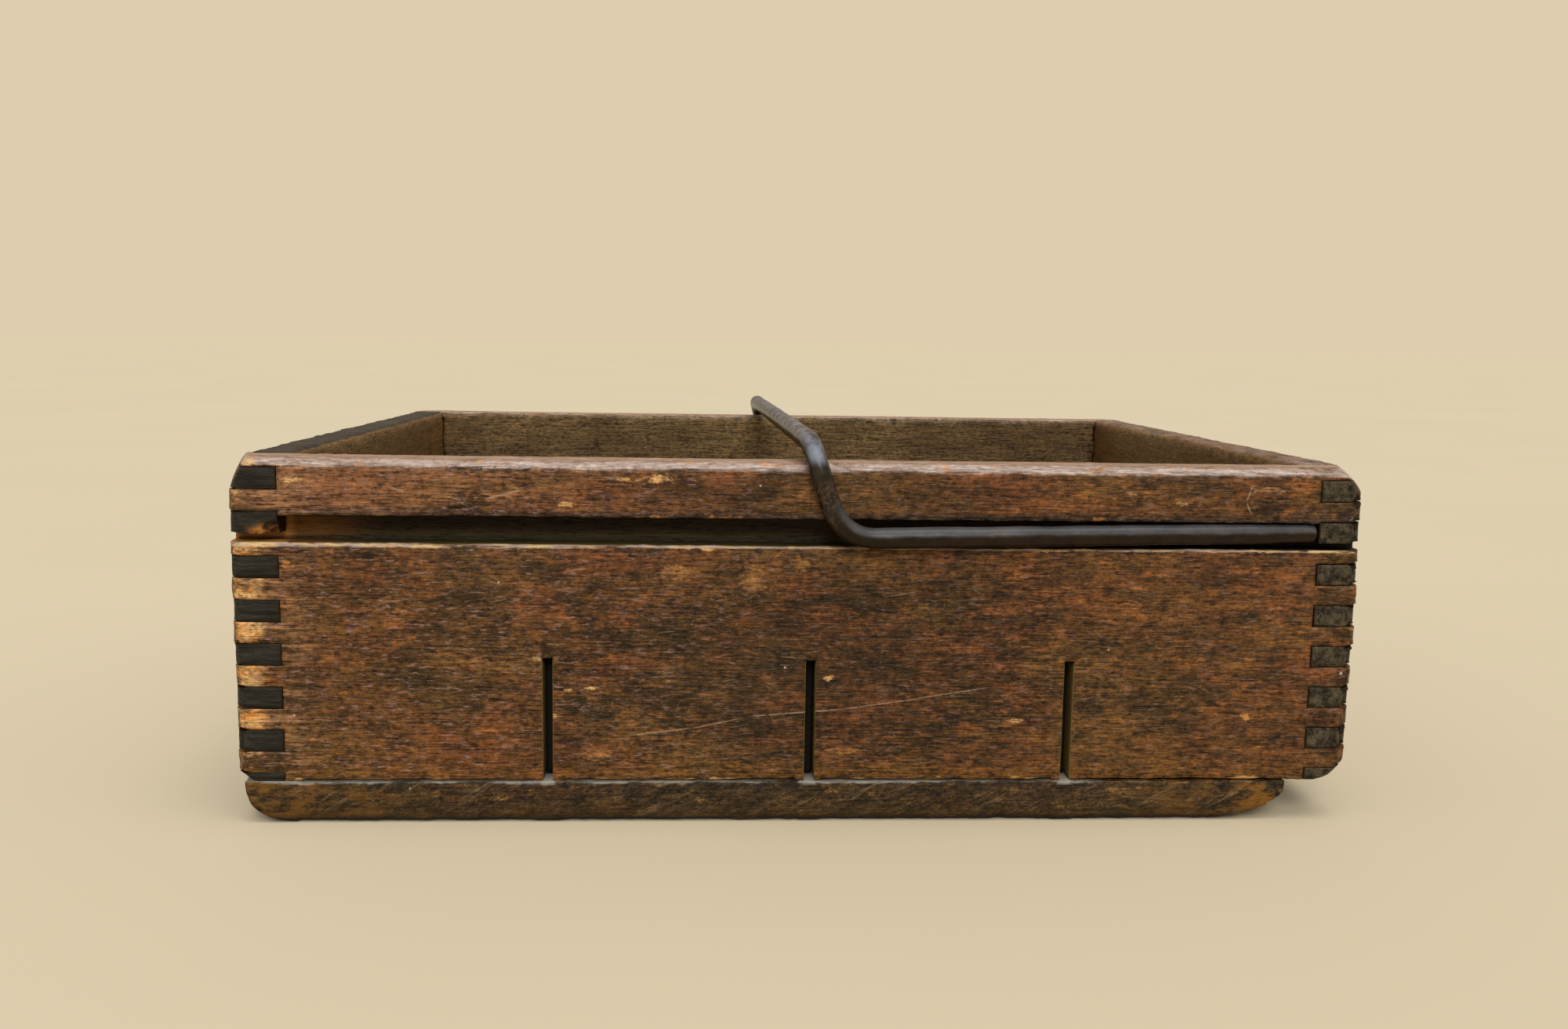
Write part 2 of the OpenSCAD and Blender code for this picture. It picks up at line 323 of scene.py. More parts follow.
# Worn wood of the groove's lip with a painted highlight
LIP_WEAR_AND_HIGHLIGHT = tone(214, 180, 130)
LOW_OCHRE = tone(132, 88, 28)
MARK_TAN = tone(150, 104, 54)
DUST = tone(176, 168, 154)
INSIDE_WOOD = tone(122, 96, 58)
INSIDE_DARK = tone(86, 66, 38)
INSIDE_WARM = tone(150, 105, 52)
BLACK_STREAK = tone(64, 59, 50)
PITTED_GREY = tone(94, 82, 60)
BROKEN_BROWN = tone(110, 62, 22)

# Colours of the bottom board and the strips
SAWN_DARK = tone(42, 33, 19)
SAWN_OCHRE = tone(78, 58, 30)
SAWN_RED = tone(76, 52, 27)
SAWN_BRIGHT = tone(124, 90, 44)
SAW_MARK = tone(140, 112, 82)
SAWN_RUBBED = tone(136, 108, 74)
SAWN_LOW = tone(66, 46, 14)
DUST_LINE = tone(148, 143, 132)
STRIP_WOOD = tone(172, 138, 94)
STRIP_DULL = tone(150, 112, 68)
STRIP_GRIME = tone(84, 62, 40)
STRIP_RUBBED = tone(206, 174, 126)

# Colours of the bail and the nails
ARM_DARK = tone(20, 10, 2)
ARM_BROWN = tone(36, 20, 6)
UPRIGHT_DARK = tone(24, 20, 15)
UPRIGHT_BROWN = tone(46, 37, 27)
WIRE_RUST = tone(104, 72, 50)
# Dust with painted sheen on the arms' upper side
WIRE_DUST_AND_SHEEN = tone(60, 61, 64)
WIRE_DUST_AND_SHEEN_PALE = tone(80, 77, 76)
CROSSING_PALE = tone(124, 120, 127)
CROSSING_DARK = tone(64, 58, 58)
# Painted highlight on the elbows
ELBOW_HIGHLIGHT = tone(138, 146, 158)
NAIL_RUST = tone(58, 44, 36)
NAIL_STEEL = tone(120, 104, 92)

# Marks on the front face: x, z, half length, half height, colour
FRONT_MARKS = [
    (-29.2, 68.6, 2.2, 0.7, RAW_TAN),
    (-36.1, 68.4, 2.6, 0.35, RAW_TAN),
    (-46.8, 63.4, 1.4, 0.5, RAW_TAN),
    (-29.9, 60.9, 2.8, 0.5, RAW_ORANGE),
    (-16.2, 60.9, 3.0, 0.5, RAW_ORANGE),
    (57.4, 61.4, 1.5, 0.4, RAW_ORANGE),
    (-25.4, 50.3, 3.6, 1.4, MARK_TAN),
    (-10.9, 49.3, 2.2, 2.6, MARK_TAN),
    (-1.5, 52.2, 1.7, 1.2, MARK_TAN),
    (73.5, 64.7, 0.9, 0.4, RAW_TAN),
    (63.4, 66.7, 1.2, 0.4, RUBBED_BROWN),
    (90.9, 67.6, 3.0, 0.5, RUBBED_BROWN),
    (90.9, 63.7, 3.4, 1.5, SOOT_AND_SHADE),
    (97.4, 68.2, 2.6, 1.2, STAIN_BRIGHT),
    (107.4, 63.5, 1.2, 1.4, SOOT_AND_SHADE),
    (88.2, 55.6, 1.4, 0.5, RAW_TAN),
    (89.0, 21.6, 0.9, 0.5, RAW_ORANGE),
    (-41.3, 14.1, 3.0, 1.4, MARK_TAN),
    (-50.9, 33.4, 1.7, 0.8, RAW_TAN),
    (-42.0, 27.2, 1.3, 0.35, RAW_TAN),
    (-46.6, 26.8, 0.7, 0.3, RAW_TAN),
    (-49.4, 21.6, 0.5, 0.6, RAW_TAN),
    (4.4, 29.4, 0.8, 0.5, RAW_TAN),
    (41.6, 20.6, 1.4, 0.4, RAW_TAN),
    (-107.4, 70.9, 2.0, 0.9, RAW_TAN),
    (-98.9, 67.7, 1.6, 0.5, RAW_TAN),
    (-99.9, 51.3, 0.9, 0.8, RAW_ORANGE),
    (8.0, 14.6, 3.0, 0.7, MARK_TAN),
    (-104.5, 12.8, 6.0, 2.2, STAIN_DARK),
    (-107.6, 9.6, 3.4, 1.0, MUSTARD),
    (-85.5, 53.2, 5.0, 0.7, SOOT_AND_SHADE),
    (-66.0, 64.0, 4.0, 1.6, SOOT_AND_SHADE),
    (-60.5, 70.0, 8.0, 0.6, SOOT_AND_SHADE),
]
# Where hands have darkened the middle of the face: x, z, half length, half height
HANDLED = (0.0, 31.0, 46.0, 16.0)
# Where a finger at the left has broken to bare wood, in the same order
BROKEN_FINGER = (-103.8, 57.2, 3.4, 1.9)
# Scratches on the front face: the two ends, each as x and z, and half the width
FRONT_SCRATCHES = [
    ((-35.6, 17.6), (-22.2, 19.2), 0.22),
    ((-23.0, 19.0), (-12.2, 21.3), 0.14),
    ((-12.2, 21.5), (8.1, 23.1), 0.20),
    ((6.0, 22.9), (24.0, 25.4), 0.16),
    ((21.0, 25.1), (36.8, 27.6), 0.14),
    ((-62.4, 64.3), (-55.0, 66.2), 0.3),
    ((-80.6, 66.5), (-77.4, 65.5), 0.25),
    ((86.5, 65.2), (87.6, 68.6), 0.22),
    ((86.4, 65.4), (87.9, 62.0), 0.22),
]


def side_face(wood):
    """The stained face, rubbed brown along the rail and at the left fingers."""
    colour = wood.stain(STAIN_DARK, STAIN_OCHRE, STAIN_RED, STAIN_BRIGHT)
    rail = wood.z.step(GROOVE_HIGH - 0.3, GROOVE_HIGH + 0.5)
    pale_rail = rail * wood.x.step(0.0, -90.0) * wood.lines.step(0.34, 0.58)
    colour = (pale_rail * 0.5).mix(colour, RAIL_BROWN)
    rail_foot = wood.z + (wood.ragged - 0.5) * 2.0
    under_rail = rail * rail_foot.step(GROOVE_HIGH + 2.0, GROOVE_HIGH + 0.6)
    colour = (under_rail * 0.75).mix(colour, RAIL_SHADE)
    by_fingers = wood.x.step(-92.0, -101.0) * wood.lines.step(0.45, 0.6)
    colour = (by_fingers * 0.6).mix(colour, RUBBED_BROWN)
    low_edge = (wood.z + (wood.ragged - 0.5) * 6.0).step(SEAT + 5.0, SEAT + 1.0)
    colour = (low_edge * 0.3).mix(colour, LOW_OCHRE)
    from_end = wood.x + (wood.ragged - 0.5) * 6.0 + END
    raw = from_end.step(0.4, 1.4) * from_end.step(7.5, 4.5) * wood.mottle.step(0.68, 0.5)
    raw = raw * wood.z.step(58.0, 56.0) * wood.z.step(13.0, 16.0)
    return (raw * 0.95).mix(colour, wood.flecks.step(0.4, 0.6).mix(RAW_ORANGE, RAW_TAN))


def side_rim(wood, colour, rim):
    """The top edge, worn pale and streaked with painted sheen: a painted grey reflection at the front, brown
    at the inner edge.
    """
    streaks = wood.fine * 1.2 + wood.lines * 0.8
    slope = wood.nz + (wood.ragged - 0.5) * 0.4
    # Worn wood with painted sheen on the rim, and a painted grey reflection of the sky on its front rounding
    worn = streaks.step(0.75, 1.2).mix(RIM_DULL_AND_SHEEN, RIM_WEAR_AND_SHEEN)
    worn = (slope.step(0.8, 0.98) * streaks.step(1.4, 1.0) * 0.9).mix(worn, RIM_BROWN)
    worn = (slope.step(0.7, 0.4) * streaks.step(1.2, 0.85) * 0.7).mix(worn, RIM_GREY_REFLECTION)
    worn = (wood.mottle.step(0.5, 0.62) * 0.45).mix(worn, RIM_BROWN)
    worn = (wood.flecks.step(0.6, 0.66) * 0.7).mix(worn, RAW_ORANGE)
    return (rim * wood.mottle.step(0.72, 0.54) * 0.9).mix(colour, worn)


def side_hollows(wood, colour):
    """The groove, the slots, the inner face, and the painted shade and dirt in every corner."""
    from_groove = abs(wood.z - (GROOVE_LOW + GROOVE_HIGH) / 2)
    hollow = abs(wood.y).step(FACE - 0.6, FACE - 1.4) * from_groove.step(3.1, 2.7)
    in_groove = hollow * (wood.y * wood.ny).step(-10.0, 0.0)
    # Painted shadow: the groove is dark at the top under the rail and at the right behind the wire; its
    # olive floor shows low at the left
    height = wood.z + (wood.mottle - 0.5) * 3.0
    olive = height.step(GROOVE_LOW + 2.6, GROOVE_LOW + 0.2) * wood.x.step(20.0, -20.0)
    colour = in_groove.mix(colour, olive.mix(GROOVE_SHADOW, GROOVE_OLIVE))
    colour = (in_groove * wood.x.step(-82.0, -98.0) * 0.7).mix(colour, GROOVE_BROWN)
    # Painted light: the groove's floor under the left finger is lit orange against the finger's shadow
    colour = (in_groove * wood.x.step(-99.0, -102.0) * 0.7).mix(colour, RAW_ORANGE)
    for slot_x in SLOT_XS:
        in_slot = abs(wood.x - slot_x).step(1.5, 1.1) * wood.z.step(SLOT_TOP + 0.6, SLOT_TOP)
        # The slot walls are old wood with soot and painted shade in them
        walls = wood.mottle.step(0.5, 0.9).mix(OLD_SLOT, SOOT_AND_SHADE)
        colour = (in_slot * abs(wood.ny).step(0.9, 0.6)).mix(colour, walls)
    inside = (wood.y * wood.ny).step(-30.0, -55.0)
    colour = (inside * 0.9).mix(colour, wood.inside())
    # Painted shade and dirt in the hollows of the mesh
    return (wood.cavity.step(0.1, 0.6) * 0.8).mix(colour, SOOT_AND_SHADE)


def side_wood():
    """The long sides: stained, handled and scratched, with a pale rim of worn wood and painted sheen."""
    wood = Wood("worn_side_wood", "x")
    front = wood.y.step(-FACE + 3.0, -FACE + 1.0)
    rim = (wood.nz + (wood.ragged - 0.5) * 0.5).step(0.15, 0.45) * wood.z.step(TOP - 3.0, TOP - 1.5)
    colour = side_rim(wood, side_face(wood), rim)
    edge = (wood.ragged - 0.5) * 2.4 + (wood.fine - 0.5) * 2.4 + (wood.chips - 0.5) * 4.0
    colour = (wood.mark(*HANDLED, edge) * front * wood.grime.step(0.25, 0.55) * 0.7).mix(colour, GRIME)
    for x, z, half_length, half_height, paint in FRONT_MARKS:
        colour = (wood.mark(x, z, half_length, half_height, edge) * front * 0.75).mix(colour, paint)
    colour = (rim * 0.6).mix(wood.streaked(colour), colour)
    # Greyish flecks of dry fibre and dust with painted sheen, more towards the left
    dusty = wood.x.step(10.0, -60.0) * 0.35 + 0.35
    colour = (wood.dry_and_sheen.step(0.54, 0.68) * dusty).mix(colour, DRY_FIBRE_AND_SHEEN)
    for first, second, width in FRONT_SCRATCHES:
        broken = wood.scratch(first, second, width) * front * wood.crumbs.step(0.36, 0.5)
        colour = (broken * 0.7).mix(colour, SCUFF)
    colour = (wood.hairlines() * 0.3).mix(colour, SCUFF)
    ends = abs(wood.nx).step(0.5, 0.8) * abs(wood.x).step(END - 3.0, END - 1.5)
    colour = (ends * 0.8).mix(colour, wood.speckle.step(0.35, 0.65).mix(GRIME, RUBBED_BROWN))
    by_rail = abs(wood.z - GROOVE_HIGH).step(1.0, 2.0) * 0.8 + 0.2
    colour = (wood.rubbed(0.52, 0.72) * by_rail * 0.85).mix(colour, RAW_TAN)
    # The groove's lower lip: a pale line of worn wood, with a painted highlight where its rounded edge
    # catches the light
    from_lip = abs(wood.z - GROOVE_LOW) + (wood.ragged - 0.5) * 1.2 - wood.x.step(-30.0, -60.0) * 0.35
    lip = from_lip.step(0.65, 0.3) * abs(wood.y).step(FACE - 2.0, FACE - 1.0)
    lip_wear_and_highlight = wood.flecks.step(0.42, 0.6).mix(RIM_DULL_AND_SHEEN, LIP_WEAR_AND_HIGHLIGHT)
    colour = (lip * wood.lines.step(0.36, 0.5) * 0.9).mix(colour, lip_wear_and_highlight)
    colour = side_hollows(wood, colour)
    colour = wood.specks(5.0, 0.28, 0.16, 5.0).most(wood.specks(9.0, 0.42, 0.12, 15.0)).mix(colour, DUST)
    roughness = wood.grime * 0.3 + wood.fine * 0.3 + 0.24 - rim * 0.1
    return wood.close(colour, roughness, wood.relief(), RELIEF)


def end_wood():
    """The ends: stained, with black end grain at the left and pitted grey at the right."""
    wood = Wood("worn_end_wood", "y")
    right = wood.x.step(-20.0, 20.0)
    colour = wood.streaked(wood.stain(STAIN_DARK, STAIN_OCHRE, STAIN_RED, STAIN_BRIGHT))
    colour = (wood.hairlines() * 0.4).mix(colour, SCUFF)
    colour = (wood.rubbed(0.5, 0.7) * 0.8).mix(colour, RUBBED_BROWN)
    end_grain = abs(wood.ny).step(0.25, 0.5) * abs(wood.y).step(FACE - 3.5, FACE - 2.0)
    streaks = wood.noise((0.1, 1.0, 1.6), 61.0, 5.0, 0.8)
    pits = wood.noise((0.8, 0.8, 0.8), 67.0, 5.0, 0.75)
    black_ends = streaks.step(0.36, 0.72).mix(SOOT_AND_SHADE, BLACK_STREAK)
    grey_ends = pits.step(0.36, 0.66).mix(SOOT_AND_SHADE, PITTED_GREY)
    colour = end_grain.mix(colour, right.mix(black_ends, grey_ends))
    colour = (wood.rubbed(0.5, 0.7) * end_grain * right * 0.7).mix(colour, RUBBED_BROWN)
    front = wood.y.step(-FACE + 4.0, -FACE + 3.0)
    broken = wood.mark(*BROKEN_FINGER, (pits - 0.5) * 2.0) * front
    colour = broken.mix(colour, pits.step(0.4, 0.6).mix(BROKEN_BROWN, RAW_ORANGE))
    top = wood.nz.step(0.3, 0.7) * wood.z.step(TOP - 3.0, TOP - 1.5)
    # The left end's top: black stain with a painted bluish reflection of the sky
    colour = (top * (1.0 - right) * 0.9).mix(colour, streaks.step(0.4, 0.8).mix(TOP_BLACK_AND_REFLECTION, STAIN_DARK))
    # The right end's top: pale worn wood with painted sheen, more towards the corners
    by_corner = abs(wood.y).step(FACE - 24.0, FACE - 6.0) * 0.45 + 0.35
    colour = (top * right * wood.ragged.step(0.66, 0.4) * by_corner).mix(colour, RIM_DULL_AND_SHEEN)
    inside = (wood.x * wood.nx).step(-50.0, -80.0)
    colour = (inside * 0.9).mix(colour, wood.inside())
    colour = (inside * (wood.mottle.step(0.7, 0.4) * 0.3 + 0.1)).mix(colour, INSIDE_WARM)
    # Painted shadow on the sides of the fingers that face into the groove
    finger_side = abs(wood.nx).step(0.4, 0.7) * abs(abs(wood.x) - INNER_END).step(1.2, 0.8)
    colour = (finger_side * abs(wood.y).step(INNER_FACE - 1.0, INNER_FACE)).mix(colour, GROOVE_SHADOW)
    # Painted shade and dirt in the hollows of the mesh
    colour = (wood.cavity.step(0.1, 0.6) * 0.8).mix(colour, SOOT_AND_SHADE)
    roughness = wood.grime * 0.3 + wood.fine * 0.3 + 0.28
    relief = wood.relief() + end_grain * (streaks + pits * 0.8)
    return wood.close(colour, roughness, relief, RELIEF)


def bottom_wood():
    """The bottom board: dark and sawn rough, with dust along its upper edge."""
    wood = Wood("sawn_bottom_wood", "x")
    colour = wood.streaked(wood.stain(SAWN_DARK, SAWN_OCHRE, SAWN_RED, SAWN_BRIGHT))
    saw = wood.slanted(28.0, 15.0, 1.7, 19.0, 5.0, 0.7)
    teeth = wood.slanted(28.0, 5.0, 0.45, 29.0, 3.0, 0.7)
    grit = wood.noise((1.7, 1.7, 1.7), 41.0, 4.0, 0.75)
    edge = abs(wood.ny).step(0.5, 0.8)
    colour = colour.darken((grit * 3.8 + teeth * 2.4 - 2.15).most(0.25))
    colour = (edge * saw.step(0.54, 0.7) * teeth.step(0.36, 0.6) * 0.75).mix(colour, SAW_MARK)
    colour = (edge * saw.step(0.48, 0.34) * 0.5).mix(colour, SOOT_AND_SHADE)
    low_ends = abs(wood.x + 4.0).step(60.0, 103.0) * wood.mottle.step(0.58, 0.42)
    colour = (low_ends * (wood.x.step(20.0, 80.0) * 0.3 + 0.55)).mix(colour, LOW_OCHRE)
    colour = (wood.rubbed(0.5, 0.7) * 0.7).mix(colour, SAWN_RUBBED)
    # Painted shade and dirt in the hollows of the mesh
    colour = (wood.cavity.step(0.1, 0.6) * 0.8).mix(colour, SOOT_AND_SHADE)
    # Painted contact shadow along the foot of the board
    by_floor = (wood.z + (wood.ragged - 0.5) * 1.6).step(1.5, 0.6)
    colour = (wood.z.step(4.0, 1.2) * edge * 0.35).mix(colour, SAWN_LOW)
    colour = (by_floor * 0.8).mix(colour, SOOT_AND_SHADE)
    inside = wood.nz.step(0.5, 0.8) * abs(wood.y).step(INNER_FACE + 1.0, INNER_FACE)
    colour = (inside * 0.9).mix(colour, wood.inside())
    outer = abs(wood.y).step(INNER_FACE + 2.0, FACE - 2.0)
    line = (wood.z + (wood.ragged - 0.5) * 2.5).step(SEAT - 0.7, SEAT - 0.1) * outer
    dust = line * wood.mottle.step(0.8, 0.55) * wood.x.step(60.0, 20.0) * 0.9
    for slot_x in SLOT_XS:
        from_slot = abs(wood.x - slot_x)
        dust = dust.most(from_slot.step(9.0, 2.0) * line * 0.7)
        dust = dust.most(from_slot.step(1.8, 1.0) * wood.z.step(SEAT - 1.2, SEAT - 0.4) * outer)
    colour = dust.mix(colour, DUST_LINE)
    colour = wood.specks(6.0, 0.25, 0.12, 9.0).mix(colour, DUST)
    relief = wood.relief() + saw * edge * 1.5
    return wood.close(colour, wood.grime * 0.3 + 0.4, relief, RELIEF)


def strip_wood(name, grain):
    """The strips: bare wood, with painted shade where it is seated in the boards."""
    wood = Wood(name, grain)
    colour = wood.streaked(wood.patch.step(0.4, 0.6).mix(STRIP_DULL, STRIP_WOOD))
    colour = (wood.grime.step(0.5, 0.7) * 0.6).mix(colour, STRIP_GRIME)
    colour = (wood.rubbed(0.45, 0.7) * 0.7).mix(colour, STRIP_RUBBED)
    # Painted shade on the ends that sit in the boards' slots
    in_ends = abs(wood.x).step(INNER_END - 1.0, INNER_END + 1.0)
    in_sides = abs(wood.y).step(INNER_FACE - 1.0, INNER_FACE + 1.0)
    colour = in_ends.most(in_sides).mix(colour, SOOT_AND_SHADE)
    return wood.close(colour, wood.grime * 0.2 + 0.6, wood.relief(), FINE_RELIEF)


def wire_steel():
    """The bail: arms with dust and painted sheen on top, rusty uprights, and a dull crossing with a painted
    highlight at each elbow.
    """
    steel = Finish("dark_bail_wire")
    blotch = steel.noise((0.1, 0.1, 0.1), 3.0, 5.0, 0.65, 0.3)
    spots = steel.noise((0.4, 0.4, 0.4), 23.0, 4.0, 0.65)
    pits = steel.noise((1.4, 1.4, 1.4), 9.0, 4.0, 0.65)
    arm = spots.step(0.35, 0.65).mix(ARM_DARK, ARM_BROWN)
    upright = spots.step(0.35, 0.65).mix(UPRIGHT_DARK, UPRIGHT_BROWN)
    colour = steel.z.step(60.0, 63.0).mix(arm, upright)
    riser = abs(steel.z - 63.5).step(6.5, 3.0) * steel.x.step(9.0, 4.0)
    rust = blotch.step(0.4, 0.6) * pits.step(0.46, 0.6) * riser
    colour = (rust * 0.65).mix(colour, WIRE_RUST)
    # Dust with a painted sheen on the upper side of the arms
    upper = (steel.nz + (blotch - 0.5) * 0.4).step(0.0, 0.4) * steel.z.step(66.0, 63.0)
    colour = (upper * 0.9).mix(colour, blotch.step(0.35, 0.65).mix(WIRE_DUST_AND_SHEEN, WIRE_DUST_AND_SHEEN_PALE))
    crossing = steel.nz.step(-0.1, 0.8) * steel.z.step(71.0, 76.0)
    colour = (crossing * 0.8).mix(colour, spots.step(0.4, 0.58).mix(CROSSING_PALE, CROSSING_DARK))
    # Painted highlight on the front of each elbow
    elbow = steel.z.step(71.3, 73.6) * steel.z.step(78.8, 77.0)
    painted_highlight = (steel.y * steel.ny).step(35.0, 75.0) * elbow
    colour = (painted_highlight * 0.65).mix(colour, ELBOW_HIGHLIGHT)
    roughness = rust * 0.3 + crossing * 0.2 + spots * 0.1 + 0.24
    return steel.close(colour, roughness, pits * 0.08 + blotch, WIRE_RELIEF, 0.0, WIRE_SPECULAR)


def nail_steel():
    """The nails: dull steel with rust."""
    steel = Finish("rusty_nail_steel")
    pits = steel.noise((1.6, 1.6, 1.6), 5.0, 5.0, 0.7)
    colour = pits.step(0.35, 0.65).mix(NAIL_RUST, NAIL_STEEL)
    return steel.close(colour, pits * 0.4 + 0.35, pits, FINE_RELIEF, pits.step(0.4, 0.6) * 0.8)


# Worn pieces, with lengths in millimetres

# Points of the CAD meshes that lie closer than this are joined up
WELD = 0.001

# Halvings of the grid that the boards and strips are meshed on, and the cells of the strips and the wire
GRID_DEPTH = 9
STRIP_CELL = 0.6
WIRE_CELL = 0.3

# What the edges of the boards and strips lose, and how far their faces are out of true
EDGE_LOSS = 0.5
STRIP_LOSS = 0.25
WARP = 0.25

# Bend of the mesh, in cells, where an edge wears in full, and where it shows as rubbed or hollow in full
EDGE_BEND = 0.06
MARK_BEND = 0.1

# Share of the rounding and wear that edges in the joints take, and the finger tips at the right
JOINT_ROUNDING = 0.12
JOINT_WEAR = 0.15
TIP_ROUNDING = 0.8

# What the upper and lower fingers lose at the corners, and the heights between which the loss sets in
UPPER_LOSS = 1.0
LOWER_LOSS = 0.7
UPPER_FINGERS = (50.0, 62.0)
LOWER_FINGERS = (36.0, 22.0)

# Corners of the box that are rubbed round: x, y, z and how far the rounding reaches along each axis.
# The depth of the ball's middle and the size of the block round the corner are shares of that reach.
BALL_DEPTH = 1.36
BLOCK_SIZE = 2.2
ROUND_CORNERS = [
    (END, -FACE, TOP, (8.0, 22.0, 7.5)),
    (-END, -FACE, TOP, (5.5, 16.0, 10.0)),
    (END, FACE, TOP, (6.0, 14.0, 6.0)),
    (-END, FACE, TOP, (5.5, 12.0, 7.0)),
    (END, -FACE, SEAT, (8.0, 8.0, 8.0)),
    (END, FACE, SEAT, (6.0, 7.0, 6.0)),
    (-END, -FACE, SEAT, (5.0, 5.0, 4.0)),
]

# Rounding of the bottom board's lower edges
FLOOR_EDGE_RADIUS = 1.1

# Bits broken out of the boards: x, y, z and radius
NICKS = {
    "front_side": [
        (-20.0, -FACE - 0.9, 72.6, 1.4),
        (64.0, -FACE - 0.9, 55.0, 1.2),
        (SLOT_XS[0], -FACE - 0.3, SLOT_TOP + 0.3, 1.3),
    ],
    "back_side": [(38.0, 76.0, 72.6, 2.0), (52.0, 76.2, 72.8, 1.8), (-60.0, FACE + 0.9, 8.2, 1.8)],
    "left_end": [(-102.2, -FACE - 0.7, 57.2, 2.3), (-END - 0.9, 30.0, 72.0, 1.6)],
    "right_end": [(END + 0.7, -22.0, 72.4, 1.7)],
    "bottom_board": [(40.0, -FACE - 0.5, 0.3, 1.5)],
}

# The crossing is bent down a little from its straight height, along the lean of the uprights
UPRIGHT_MIDDLE = 67.3
CROSSING_SAG = 1.5
UPRIGHT_LEAN = 17.6

# The ends of the arms lie lower by a hair, so that the worn wire clears the top of the grooves
ARM_MIDDLE = 60.0
ARM_CLEARANCE = 0.15

# How uneven the wire is, and by what share of that it swells all over
WIRE_UNEVEN = 0.3
WIRE_SWELL = 0.15

# Bevel of the nails, and the angle past which their edges are sharp
NAIL_BEVEL = 0.2
SHARP_ANGLE = math.radians(40)


def select_only(piece):
    """Makes a piece the only one selected, and the active one."""
    bpy.ops.object.select_all(action="DESELECT")
    piece.select_set(True)
    bpy.context.view_layer.objects.active = piece


def modify(piece, kind, **settings):
    """Adds a modifier to a piece and applies it."""
    select_only(piece)
    modifier = piece.modifiers.new(kind.lower(), kind)
    for name, value in settings.items():
        setattr(modifier, name, value)
    bpy.ops.object.modifier_apply(modifier=modifier.name)


def cut_away(piece, cutters):
    """Takes the cutters out of a piece."""
    for cutter in cutters:
        modify(piece, "BOOLEAN", operation="DIFFERENCE", object=cutter, solver="EXACT")


def cad_copy(node, name):
    """A copy of a CAD node's mesh with its triangles joined up, to be worn down."""
    piece = bpy.data.objects.new(name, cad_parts[node].data.copy())
    bpy.context.collection.objects.link(piece)
    piece.data.materials.clear()
    select_only(piece)
    bpy.ops.object.mode_set(mode="EDIT")
    bpy.ops.mesh.select_all(action="SELECT")
    bpy.ops.mesh.remove_doubles(threshold=WELD / MM)
    bpy.ops.mesh.customdata_custom_splitnormals_clear()
    bpy.ops.object.mode_set(mode="OBJECT")
    return piece


def shift_past(piece, axis, limit, way):
    """Moves the points of a piece that lie past that limit along an axis."""
    select_only(piece)
    bpy.ops.object.mode_set(mode="EDIT")
    bpy.ops.mesh.select_all(action="DESELECT")
    bpy.ops.object.mode_set(mode="OBJECT")
    for point in piece.data.vertices:
        point.select = point.co[axis] * MM > limit
    bpy.ops.object.mode_set(mode="EDIT")
    bpy.ops.transform.translate(value=[part / MM for part in way])
    bpy.ops.object.mode_set(mode="OBJECT")


def clouds(name, size):
    """Soft noise for wear, with blotches of that size in millimetres."""
    texture = bpy.data.textures.new(name, "CLOUDS")
    texture.noise_scale = size / MM
    texture.noise_depth = 2
    return texture


def mesh_arrays(piece):
    """The points of a mesh, their normals and the edges between them."""
    mesh = piece.data
    points = np.empty(len(mesh.vertices) * 3)
    normals = np.empty(len(mesh.vertices) * 3)
    edges = np.empty(len(mesh.edges) * 2, np.int32)
    mesh.vertices.foreach_get("co", points)
    mesh.vertices.foreach_get("normal", normals)
    mesh.edges.foreach_get("vertices", edges)
    return points.reshape(-1, 3), normals.reshape(-1, 3), edges.reshape(-1, 2)


def ramp(values, low, high):
    """0 at low and 1 at high, with a straight slope between. High may be the smaller of the two."""
    return np.clip((values - low) / (high - low), 0, 1)


def neighbour_mean(values, edges):
    """The mean of a value over the points that an edge joins to each point."""
    first, second = edges.T
    size = len(values)
    total = np.bincount(first, values[second], size) + np.bincount(second, values[first], size)
    return total / np.maximum(np.bincount(edges.ravel(), minlength=size), 1)


def spread(values, edges, passes):
    """A value blurred over the points round about."""
    for _ in range(passes):
        values = (values + neighbour_mean(values, edges)) / 2
    return values


def standing_out(piece, passes):
    """How far each point stands out of the mesh round it, and how far it lies in a hollow, in cells."""
    points, normals, edges = mesh_arrays(piece)
    middle = np.stack([neighbour_mean(points[:, axis], edges) for axis in range(3)], axis=1)
    step = np.linalg.norm(points[edges[:, 0]] - points[edges[:, 1]], axis=1).mean()
    bend = np.einsum("ij,ij->i", points - middle, normals) / step
    return spread(np.maximum(bend, 0), edges, passes), spread(np.maximum(-bend, 0), edges, passes)


def vertex_group(piece, name, weights):
    """Makes a group of a piece's points with those weights, and gives its name."""
    group = piece.vertex_groups.new(name=name)
    for index in np.flatnonzero(weights > 0.01):
        group.add([int(index)], float(min(weights[index], 1.0)), "REPLACE")
    return name


def store(piece, name, values):
    """Keeps a value from 0 to 1 at each point, which the finishes read."""
    attribute = piece.data.attributes.new(name, "FLOAT", "POINT")
    attribute.data.foreach_set("value", np.clip(values, 0, 1).astype(np.float32))


